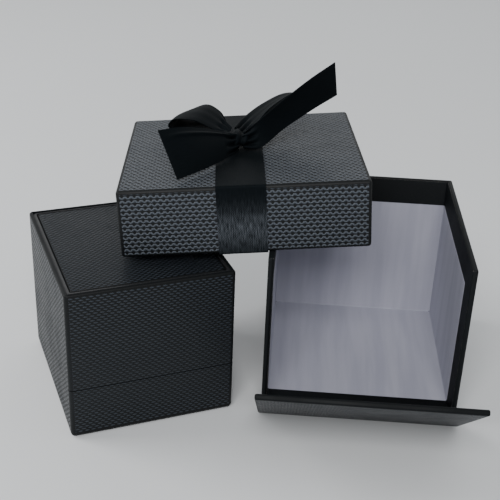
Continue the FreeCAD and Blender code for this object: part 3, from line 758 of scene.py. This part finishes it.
# %% Ribbon helpers
def smooth_between(points, share):
    """The point at a share of the way along a smooth curve through the given points."""
    place = min(max(share, 0.0), 1.0)*(len(points) - 1)
    i = min(int(place), len(points) - 2)
    t = place - i
    before = points[i - 1] if i > 0 else points[0]*2 - points[1]
    after = points[i + 2] if i + 2 < len(points) else points[-1]*2 - points[-2]
    a, b = points[i], points[i + 1]
    return 0.5*(2*a + (b - before)*t + (2*before - 5*a + 4*b - after)*t*t
                + (3*a - before - 3*b + after)*t*t*t)


def path_length(points):
    steps = 60
    places = [smooth_between(points, step/steps) for step in range(steps + 1)]
    return sum((b - a).length for a, b in zip(places, places[1:]))


def lay_threads(piece):
    """Flat coordinates in millimetres, along and across the cloth."""
    layer = piece.data.uv_layers.new(name="cloth_mm")
    for corner in piece.data.loops:
        point = piece.data.vertices[corner.vertex_index].co
        layer.data[corner.index].uv = (point.x/MM, point.y/MM)


def flat_cut(name, width, length, along, across):
    """A flat grid of the ribbon's cut size, with its flat coordinates."""
    bpy.ops.object.select_all(action="DESELECT")
    bpy.ops.mesh.primitive_grid_add(x_subdivisions=along, y_subdivisions=across, size=1)
    piece = bpy.context.object
    piece.name = name
    bpy.ops.transform.resize(value=(length, width, 1))
    bpy.ops.object.transform_apply(location=True, rotation=True, scale=True)
    lay_threads(piece)
    return piece


def carry(piece, width, length, place):
    """Take each point of the flat strip to its place, from its share along and across."""
    for vertex in piece.data.vertices:
        shares = [min(max(part, 0.0), 1.0)
                  for part in (vertex.co.x/length + 0.5, vertex.co.y/width + 0.5)]
        vertex.co = place(*shares)
    piece.data.update()


RIBBON_THICKNESS = 0.28*MM
PLEATS = 3
CREASE_AT = 0.84
CREASE_WIDTH = 0.035


def thicken_ribbon(piece):
    apply_modifier(piece, "SOLIDIFY", thickness=RIBBON_THICKNESS, offset=0.0)


def bow_piece(name, pairs, stands_for, bulge, gather, fold=0.0):
    """A strip along pairs of edge points in the lid's millimetres, pleated towards the knot."""
    near = [Vector(first)*MM for first, second in pairs]
    far = [Vector(second)*MM for first, second in pairs]
    middle = [(a + b)/2 for a, b in zip(near, far)]
    width = RIBBON_WIDTH
    length = path_length(middle)
    piece = flat_cut(name, width, length, 72, 40)

    def place(along, across):
        a, b = smooth_between(near, along), smooth_between(far, along)
        ahead = min(along + 0.02, 1.0)
        behind = max(along - 0.02, 0.0)
        run = smooth_between(middle, ahead) - smooth_between(middle, behind)
        out = run.cross(b - a).normalized()
        spare = math.sqrt(max(width**2 - (b - a).length_squared, 0))
        wave = math.sin(across*math.pi*2*PLEATS)*gather(along)*spare/(4*PLEATS)
        crown = (1 - (2*across - 1)**2)*bulge(along)*MM
        fade = min(1, 4*along, 5*(1 - along))
        crease = fold*fade*math.exp(-((across - CREASE_AT)/CREASE_WIDTH)**2)*MM
        return a.lerp(b, across) + out*(wave + crown + crease)

    carry(piece, width, length, place)
    thicken_ribbon(piece)
    settle(piece, LID, "bow_lid", [stands_for], BLACK_SATIN, smooth=60)
    print(name, "cut", round(width/MM, 1), "x", round(length/MM, 1), "mm")


band_low, band_high = size_in(LID, "ribbon_band")
RIBBON_WIDTH = band_high.x - band_low.x
print("ribbon is", round(RIBBON_WIDTH/MM, 1), "mm wide")

# %% [markdown]
# ### The band round the lid
# The band runs over the top, down the front and back, and a little way up inside the skirt. The
# strip is bent in legs, with a small round at each corner of the lid. On the top it lies a
# little loose. Down the front an attribute marks the points where the satin gets a painted
# sheen on its raised threads.

# %% Ribbon band
CORNER_EASE = 0.35*MM
SLACK = 0.35*MM
PAINTED_SHEEN_MIDDLE = 17
PAINTED_SHEEN_SPREAD = 6.5


def make_band():
    clear = 0.18*MM
    inside = BOARD_WALL + clear
    tuck = 6*MM
    half = -LID_LOW.y
    top = LID_HIGH.z
    front_half = [(-half + inside, tuck), (-half + inside, -clear), (-half - clear, -clear),
                  (-half - clear, top + clear)]
    back_half = [(-y, z) for y, z in reversed(front_half)]
    corners = [Vector((0, y, z)) for y, z in front_half + back_half]
    legs = [(b - a).length for a, b in zip(corners, corners[1:])]
    length = sum(legs)
    width = RIBBON_WIDTH
    piece = flat_cut("ribbon_band_satin", width, length, 268, 12)
    middle_x = (band_low.x + band_high.x)/2

    def along_legs(travel):
        for a, b, leg in zip(corners, corners[1:], legs):
            if travel <= leg:
                return a.lerp(b, travel/leg)
            travel -= leg
        return corners[-1].copy()

    def place(along, across):
        behind = along_legs((along*length) - CORNER_EASE if along > 0.001 else 0)
        ahead = along_legs(min(along*length + CORNER_EASE, length))
        point = (behind + ahead)/2
        side = 2*across - 1
        point.x = middle_x + side*width/2
        if abs(point.y) < half - 1*MM and point.z > top:
            ease = math.sin(math.pi*(point.y + half)/(2*half))
            point.z += SLACK*ease*abs(math.sin(2.6*side + point.y/(9*MM)))
        return point

    # Painted sheen: a patch down the front of the band, where the satin paints its raised threads
    # bright.
    painted_sheen_mask = piece.data.attributes.new("painted_sheen_mask", "FLOAT", "POINT")
    for vertex in piece.data.vertices:
        travel = (vertex.co.x + length/2)/MM
        painted_sheen_mask.data[vertex.index].value = math.exp(-((travel - PAINTED_SHEEN_MIDDLE)/PAINTED_SHEEN_SPREAD)**2)
    carry(piece, width, length, place)
    thicken_ribbon(piece)
    settle(piece, LID, "bow_lid", ["ribbon_band"], BLACK_SATIN, smooth=50)
    print("band cut", round(width/MM, 1), "x", round(length/MM, 1), "mm")


make_band()

# %% [markdown]
# ### The bow
# Two loops, two cut tails and a knot. A loop leaves the knot, turns over and comes back, so its
# path is closed at the knot, where the ribbon is gathered into pleats. The left loop lies low
# with its mouth to the front, the right one stands up behind its tail.

# %% Loops
def gathered_at_both_ends(along):
    return max(1 - 5.5*min(along, 1 - along), 0.06)


def round_loop(along):
    return 0.5*math.sin(math.pi*along)


bow_piece("bow_left_loop_satin", [
    ((-4.4, -2.4, 27.2), (-3.6, 2.6, 26.6)),
    ((-9.2, -1.2, 28.2), (-8.0, 9.0, 29.6)),
    ((-14.2, -0.4, 29.0), (-12.8, 12.8, 31.8)),
    ((-19.6, 0.0, 29.7), (-17.4, 14.6, 30.9)),
    ((-23.8, 0.2, 30.6), (-20.4, 15.0, 30.2)),
    ((-24.9, 0.2, 32.3), (-21.1, 15.2, 30.9)),
    ((-22.6, 0.0, 34.3), (-17.6, 15.2, 32.8)),
    ((-16.0, -0.2, 33.6), (-11.8, 13.8, 34.9)),
    ((-10.6, -0.8, 30.9), (-7.4, 11.2, 33.2)),
    ((-7.0, -1.4, 29.4), (-5.4, 8.2, 31.0)),
    ((-4.6, -2.0, 28.4), (-3.6, 3.6, 28.8)),
], "bow_left_loop", round_loop, gathered_at_both_ends)

bow_piece("bow_right_loop_satin", [
    ((2.4, -1.4, 26.0), (0.8, 5.4, 26.0)),
    ((6.4, 1.6, 28.0), (5.8, 14.0, 29.9)),
    ((11.4, 4.0, 31.0), (11.8, 19.0, 32.8)),
    ((15.9, 5.4, 35.0), (16.6, 21.0, 34.4)),
    ((18.6, 6.2, 38.0), (19.4, 21.2, 35.0)),
    ((17.8, 6.2, 39.4), (18.6, 21.0, 35.8)),
    ((14.0, 6.2, 37.4), (14.9, 20.2, 35.6)),
    ((9.8, 5.0, 34.7), (10.4, 18.4, 34.2)),
    ((5.4, 2.6, 30.7), (5.2, 15.8, 32.0)),
    ((3.2, 0.4, 28.7), (0.4, 10.6, 29.8)),
    ((1.6, -1.8, 27.4), (-2.2, 4.0, 28.4)),
], "bow_right_loop", round_loop, gathered_at_both_ends)

# %% [markdown]
# The tails are single strips with a clean cut end. The left one hangs over the lid's top towards
# the front with its upper edge curled back; the right one stands up and out, stiff as new satin.

# %% Tails
def gathered_at_start(along):
    return max(1 - 4*along, 0.0)


def soft_curl(along):
    return -0.8*math.sin(math.pi*along)


bow_piece("bow_left_tail_satin", [
    ((-1.2, -6.6, 24.4), (-1.8, -3.0, 28.8)),
    ((-5.6, -13.6, 24.2), (-7.0, -6.6, 31.6)),
    ((-10.2, -19.8, 24.1), (-13.2, -12.0, 34.6)),
    ((-15.4, -25.8, 24.1), (-19.8, -18.2, 37.2)),
    ((-21.0, -31.6, 24.2), (-26.6, -24.0, 38.4)),
], "bow_left_tail", soft_curl, gathered_at_start, fold=-0.7)

bow_piece("bow_right_tail_satin", [
    ((0.8, -5.8, 24.6), (0.6, -2.2, 29.0)),
    ((6.6, -5.2, 24.6), (5.6, -3.8, 33.4)),
    ((14.4, -0.2, 29.0), (14.2, -2.0, 39.6)),
    ((24.4, 4.6, 33.8), (23.6, -0.8, 46.2)),
    ((33.9, 8.2, 38.0), (32.5, 0.2, 51.6)),
], "bow_right_tail", soft_curl, gathered_at_start)

# %% [markdown]
# ### The knot
# The knot is the same ribbon, drawn tight round the middle of the bow. It goes once round an
# oval from front to back, with three creases that run along it.

# %% Knot
KNOT_WIDTH = 10.2*MM


def make_knot():
    low, high = size_in(LID, "bow_knot")
    middle = (low + high)/2
    deep, tall = (high.y - low.y)/2 - 1.2*MM, (high.z - low.z)/2 - 0.8*MM
    length = math.pi*(3*(deep + tall) - math.sqrt((3*deep + tall)*(deep + 3*tall)))
    width = KNOT_WIDTH
    piece = flat_cut("bow_knot_satin", width, length, 64, 24)

    def place(along, across):
        turn = 2*math.pi*along + math.pi/2
        side = 2*across - 1
        crease = (0.55*math.cos(side*math.pi*2.5) - 1.1*side*side)*MM
        lean = 0.8*MM*math.sin(turn)
        return Vector((middle.x + side*(high.x - low.x)/2 + lean,
                       middle.y + math.cos(turn)*(deep + crease),
                       middle.z + math.sin(turn)*(tall + crease)))

    carry(piece, width, length, place)
    select_only(piece)
    bpy.ops.object.mode_set(mode="EDIT")
    bpy.ops.mesh.select_all(action="SELECT")
    bpy.ops.mesh.remove_doubles(threshold=CLOSE)
    done()
    thicken_ribbon(piece)
    settle(piece, LID, "bow_lid", ["bow_knot"], BLACK_SATIN, smooth=60)


make_knot()

# %% [markdown]
# ## The ring box
# A moulded shell covered in the oval-celled paper. Its cover is a skin less than half a
# millimetre thick, round at the upright corners and softly round at the rims. The lid has an
# inset panel, so the top face is inset, pushed down and opened, and the panel is laid in.

# %% Ring box helpers
SKIN = 0.4*MM
CORNER = 1.3*MM
TOP_RIM = 0.9*MM
BOTTOM_RIM = 1.8*MM
LIFT_OFF_FELT = 0.08*MM
pin_low, pin_high = size_in(RING, "hinge_pin")
hinge_line = Vector((0, (pin_low.y + pin_high.y)/2, (pin_low.z + pin_high.z)/2))
relief_line = hinge_line - 0.3*MM*BACK
print("ring box opens about", [round(part/MM, 1) for part in hinge_line], "mm")


def back_wedge(piece, way):
    """Cut the slanted relief that lets the lid swing back past its hinge line."""
    select_only(piece)
    bpy.ops.object.mode_set(mode="EDIT")
    bpy.ops.mesh.select_all(action="SELECT")
    bpy.ops.mesh.bisect(plane_co=relief_line, plane_no=way.normalized(), clear_outer=True)
    done()


def covered_block(name, low, high, rim, rim_height):
    """A block with round upright corners and one round rim."""
    piece = block(name, low, high)
    round_edges(piece, upright_edge, CORNER, 8)
    round_edges(piece, rim_edge(rim_height), rim, 6)
    return piece

# %% Ring box lid cover
RECESS_RIM = 0.4*MM
RECESS_DEPTH = 1.4*MM
low, high = size_in(RING, "ring_lid_cover")
ring_lid = covered_block("ring_box_lid_cover", low, high, TOP_RIM, high.z)
pick(ring_lid, "FACE", faces_way(UP, high.z))
bpy.ops.mesh.inset(thickness=RECESS_RIM, depth=0)
bpy.ops.mesh.extrude_region_move(TRANSFORM_OT_translate={"value": (0, 0, -RECESS_DEPTH)})
bpy.ops.mesh.delete(type="FACE")
done()
open_side(ring_lid, -UP)
back_wedge(ring_lid, BACK - UP)
apply_modifier(ring_lid, "SOLIDIFY", thickness=SKIN, offset=-1.0)
lay_paper(ring_lid)
settle(ring_lid, RING, "ring_lid", ["ring_lid_cover"], RING_PAPER)

# %% Ring box base cover
low, high = size_in(RING, "ring_base_cover")
low.z += LIFT_OFF_FELT
ring_base = covered_block("ring_box_base_cover", low, high, BOTTOM_RIM, low.z)
open_side(ring_base, UP)
back_wedge(ring_base, BACK + UP)
apply_modifier(ring_base, "SOLIDIFY", thickness=SKIN - LIFT_OFF_FELT, offset=-1.0)
lay_paper(ring_base)
settle(ring_base, RING, "ring_base", ["ring_base_cover"], RING_PAPER)

# %% [markdown]
# ### The top panel
# A thin board in the same paper, laid into the recess with a dark gap round it. Its upper edges
# are softly rounded by a bevel.

# %% Top panel
low, high = size_in(RING, "ring_lid_top_panel")
top_panel = block("ring_box_top_panel", low, high)
round_edges(top_panel, upright_edge, 0.8*MM, 5)
round_edges(top_panel, rim_edge(high.z), 0.35*MM, 3)
lay_paper(top_panel)
settle(top_panel, RING, "ring_lid", ["ring_lid_top_panel"], RING_PAPER)

# %% [markdown]
# ## Cushions and pad
# Two velvet cushions grip the ring between them, and a satin pad in the lid holds it still. A
# foam cushion is fuller in the middle than at its edges. Each starts as a block, gets round
# edges and a fine mesh. A cloth simulation then blows its cover up from inside, held along the
# bottom edge, and the swelling is eased back to the space that the shell leaves.

# %% Cloth simulation
PRESSURE = 500
LAST_FRAME = 14
SEAM_HEIGHT = 1.5*MM


def blow_up(piece):
    """Where each point ends when the cover is blown up from inside, with its bottom edge held."""
    select_only(piece)
    lowest = min(vertex.co.z for vertex in piece.data.vertices)
    seam = piece.vertex_groups.new(name="seam")
    seam.add([vertex.index for vertex in piece.data.vertices
              if vertex.co.z < lowest + SEAM_HEIGHT], 1.0, "REPLACE")
    cloth = piece.modifiers.new("cover", "CLOTH")
    rules = cloth.settings
    rules.quality = 6
    rules.mass = 0.002
    rules.vertex_group_mass = "seam"
    rules.tension_stiffness = 20
    rules.compression_stiffness = 20
    rules.use_pressure = True
    rules.uniform_pressure_force = PRESSURE
    rules.effector_weights.gravity = 0
    cloth.collision_settings.use_collision = False
    cloth.point_cache.frame_end = LAST_FRAME
    for frame_number in range(1, LAST_FRAME + 1):
        bpy.context.scene.frame_set(frame_number)
    shaped = piece.evaluated_get(bpy.context.evaluated_depsgraph_get())
    ends = [vertex.co.copy() for vertex in shaped.data.vertices]
    piece.modifiers.remove(cloth)
    piece.vertex_groups.remove(seam)
    bpy.context.scene.frame_set(1)
    return ends


# %% Soft blocks
FOAM_INSET = 0.5*MM
SWELL = 0.45*MM


def soft_block(name, node, body, finish):
    """A cushion of the ring box, from the plain block that the frame gives for it."""
    low, high = size_in(RING, node)
    shrink = Vector((FOAM_INSET, FOAM_INSET, FOAM_INSET))
    piece = block(name, low + shrink, high - shrink)
    apply_modifier(piece, "BEVEL", width=2.4*MM, segments=4, limit_method="ANGLE")
    apply_modifier(piece, "REMESH", mode="VOXEL", voxel_size=1.3*MM)
    start = [vertex.co.copy() for vertex in piece.data.vertices]
    ends = blow_up(piece)
    furthest = max((b - a).length for a, b in zip(start, ends))
    for vertex, a, b in zip(piece.data.vertices, start, ends):
        vertex.co = a + (b - a)*(SWELL/furthest)
    print(name, "moved", round(furthest/MM, 2), "mm, eased to", round(SWELL/MM, 2), "mm")
    apply_modifier(piece, "SMOOTH", factor=0.5, iterations=4)
    apply_modifier(piece, "SUBSURF", levels=1, render_levels=1)
    lay_threads(piece)
    settle(piece, RING, body, [node], finish, smooth=80)


for side in ("front", "rear"):
    soft_block(f"ring_cushion_{side}_velvet", f"ring_cushion_{side}", "ring_base", VELVET)
soft_block("ring_lid_pad_satin", "ring_lid_pad", "ring_lid", WHITE_SATIN)

# %% [markdown]
# ## Pieces that stay as measured
# Boards, linings, shells, felt and the hinge already have their true shape, so they keep it and
# only get their finish.

# %% Finishes for the measured pieces
def dress(names, finish):
    for name in names:
        slots = nodes[name].data.materials
        slots.clear()
        slots.append(finish)
    print(finish.name, "on", len(names), "pieces")


dress([name for name in nodes if name.endswith("_board") and name not in lid_boards], BOARD)
dress(["drop_front_liner", "lid_liner"], LINING)
dress(["ring_base_shell", "ring_lid_shell"], PLASTIC)
dress(["ring_base_lip", "ring_lid_lining"], VELVET)
dress(["ring_base_felt"], FELT)
dress(["hinge_base_leaf", "hinge_lid_leaf", "hinge_pin", "hinge_snap_spring"], STEEL)

# %% [markdown]
# ## Floor and light
# A plain pale floor and three soft boxes, as in a studio for small products. A wide, weak one
# behind draws a sheen over the top faces, a second one lights the left sides, and the strongest
# stands in front and above, so the embossing on the front faces shows.

# %% Floor
bpy.ops.object.select_all(action="DESELECT")
bpy.ops.mesh.primitive_plane_add(size=6, location=(0, 0, -0.1*MM))
floor = bpy.context.object
floor.name = "studio_floor"
floor_material, floor_tree, floor_shader = new_material("pale_floor", (0.72, 0.73, 0.74), 0.7)
speckle = put(floor_tree, "TexNoise", -500, 0, in_Scale=3.0, in_Detail=2.0)
floor_place = put(floor_tree, "TexCoord", -700, 0)
wire(floor_tree, (floor_place.outputs["Object"], speckle.inputs["Vector"]),
     (color_mix(floor_tree, -250, 0, speckle.outputs[0], (0.70, 0.71, 0.72), (0.74, 0.75, 0.76)),
      floor_shader.inputs["Base Color"]))
floor.data.materials.append(floor_material)
print("floor is", round(floor.dimensions.x, 1), "m wide")

# %% Lights
AIM = Vector((-0.03, 0, 0.03))


def soft_box(name, place, size, power):
    bpy.ops.object.select_all(action="DESELECT")
    bpy.ops.object.light_add(type="AREA", location=place)
    light = bpy.context.object
    light.name = name
    light.data.shape = "RECTANGLE"
    light.data.size, light.data.size_y = size
    light.data.energy = power
    light.rotation_euler = (AIM - light.location).to_track_quat("-Z", "Y").to_euler()
    print(name, "at", power, "W")


soft_box("back_soft_box", (0.05, 0.80, 0.50), (1.6, 0.6), 2.5)
soft_box("left_soft_box", (-0.80, 0.05, 0.50), (0.5, 0.6), 5)
soft_box("front_soft_box", (-0.10, -0.9, 0.80), (0.7, 0.4), 11)

world = bpy.data.worlds.new("studio")
bpy.context.scene.world = world
world.use_nodes = True
sky = world.node_tree.nodes["Background"]
sky.inputs["Color"].default_value = (0.86, 0.90, 0.92, 1)
sky.inputs["Strength"].default_value = 0.42
